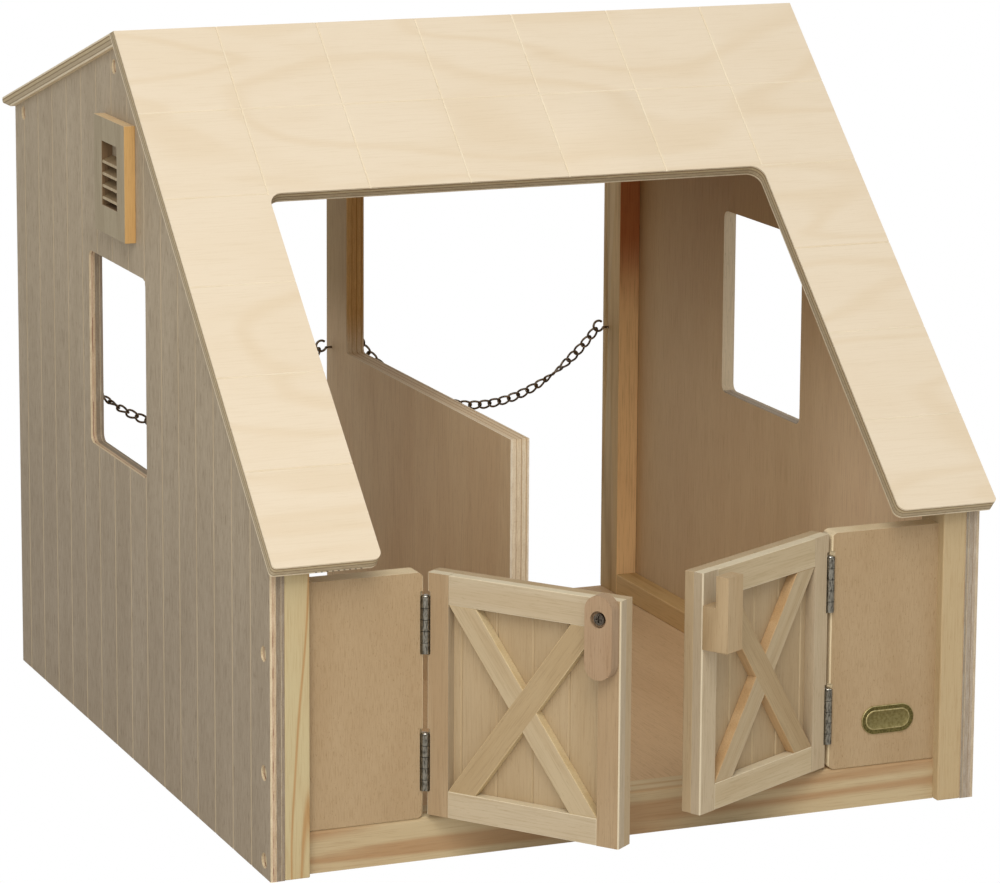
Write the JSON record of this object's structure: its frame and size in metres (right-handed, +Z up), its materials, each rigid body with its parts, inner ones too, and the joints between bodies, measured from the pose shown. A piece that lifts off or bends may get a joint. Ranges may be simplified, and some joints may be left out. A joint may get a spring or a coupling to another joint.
{
  "type": "toy barn with opening doors",
  "caption": "Wooden toy stable with grooved walls, open-fronted roof, stall divider, braced doors that swing open, a turning latch, louvred vents and hanging stall chains.",
  "frame": {"origin": "on the ground, under the middle of the walls' footprint", "axes": "+Z up, -Y towards the doors, +X to the right as seen from the front"},
  "size_m": [0.427, 0.5753, 0.418],
  "materials": {
    "siding_plywood": "sanded birch plywood, waxed grey-brown, with V-grooved siding",
    "floor_plywood": "bare plywood, reddish brown, sanded",
    "roof_plywood": "sanded pale plywood with scored shingle lines",
    "front_post_pine": "planed pine with brown heart streaks",
    "sill_pine": "planed pine, grain along the sill",
    "rail_pine": "planed pine",
    "rear_post_pine": "planed pine, darker in the shade",
    "divider_plywood": "sanded plywood with visible plies on its edges",
    "panel_plywood": "sanded plywood, fine upright speckle",
    "vent_pine": "sawn pine",
    "vent_slat_pine": "sawn pine",
    "plug_hardwood": "end-grain wooden plug",
    "door_frame_hardwood": "sanded pale hardwood with faint grain",
    "door_board_plywood": "sanded plywood with V-grooves",
    "brace_hardwood": "sanded pale hardwood",
    "latch_hardwood": "sanded pale hardwood with eased edges",
    "hinge_zinc": "zinc-plated pressed steel",
    "pin_steel": "bright steel pin",
    "screw_steel": "zinc-plated steel",
    "latch_screw_steel": "dark zinc-plated steel",
    "hook_bronze": "antique bronze finish on steel wire",
    "chain_bronze": "antique bronze finish on steel wire"
  },
  "bodies": {
    "barn": {"left_wall": "siding_plywood", "right_wall": "siding_plywood", "floor_board": "floor_plywood", "front_sill": "sill_pine", "left_floor_rail": "rail_pine", "right_floor_rail": "rail_pine", "front_left_post": "front_post_pine", "front_right_post": "front_post_pine", "rear_left_post": "rear_post_pine", "rear_right_post": "rear_post_pine", "ridge_beam": "rail_pine", "front_roof": "roof_plywood", "rear_roof": "roof_plywood", "stall_divider": "divider_plywood", "left_front_panel": "panel_plywood", "right_front_panel": "panel_plywood", "left_vent_frame": "vent_pine", "left_vent_slats": "vent_slat_pine", "right_vent_frame": "vent_pine", "right_vent_slats": "vent_slat_pine", "left_wall_screws": "screw_steel", "right_wall_screws": "screw_steel", "left_wall_plugs": "plug_hardwood", "right_wall_plugs": "plug_hardwood", "left_post_hook": "hook_bronze", "divider_left_hook": "hook_bronze", "divider_right_hook": "hook_bronze", "right_post_hook": "hook_bronze", "left_upper_panel_leaf": "hinge_zinc", "left_lower_panel_leaf": "hinge_zinc", "right_upper_panel_leaf": "hinge_zinc", "right_lower_panel_leaf": "hinge_zinc", "left_hinge_pins": "pin_steel", "right_hinge_pins": "pin_steel", "panel_hinge_screws": "screw_steel"},
    "left_door": {"left_door_hinge_stile": "door_frame_hardwood", "left_door_free_stile": "door_frame_hardwood", "left_door_top_rail": "door_frame_hardwood", "left_door_bottom_rail": "door_frame_hardwood", "left_door_back_panel": "door_board_plywood", "left_door_braces": "brace_hardwood", "left_upper_door_leaf": "hinge_zinc", "left_lower_door_leaf": "hinge_zinc", "left_door_hinge_screws": "screw_steel", "latch_screw": "latch_screw_steel"},
    "latch_arm": {"latch_arm": "latch_hardwood"},
    "right_door": {"right_door_hinge_stile": "door_frame_hardwood", "right_door_free_stile": "door_frame_hardwood", "right_door_top_rail": "door_frame_hardwood", "right_door_bottom_rail": "door_frame_hardwood", "right_door_back_panel": "door_board_plywood", "right_door_braces": "brace_hardwood", "right_upper_door_leaf": "hinge_zinc", "right_lower_door_leaf": "hinge_zinc", "right_door_hinge_screws": "screw_steel", "latch_keeper": "latch_hardwood"},
    "left_chain": {"left_chain": "chain_bronze"},
    "right_chain": {"right_chain": "chain_bronze"}
  },
  "joints": [
    {"name": "left_door_hinge", "type": "hinge", "parent": "barn", "child": "left_door", "pos_m": [-0.11855, -0.2272, 0.0913], "axis": [0, 0, -1], "range_deg": [-53, 117]},
    {"name": "latch_pivot", "type": "hinge", "parent": "left_door", "child": "latch_arm", "pos_m": [-0.05672, -0.31565, 0.1481], "axis": [0.7986, 0.6018, 0], "range_deg": [-8, 270]},
    {"name": "right_door_hinge", "type": "hinge", "parent": "barn", "child": "right_door", "pos_m": [0.11855, -0.2272, 0.0913], "axis": [0, 0, 1], "range_deg": [-28.5, 141.5]},
    {"name": "left_chain_swing", "type": "hinge", "parent": "barn", "child": "left_chain", "pos_m": [-0.09538, 0.224, 0.18492], "axis": [1, 0, 0], "range_deg": [-30, 30]},
    {"name": "right_chain_swing", "type": "hinge", "parent": "barn", "child": "right_chain", "pos_m": [0.09538, 0.224, 0.18492], "axis": [1, 0, 0], "range_deg": [-30, 30]}
  ]
}
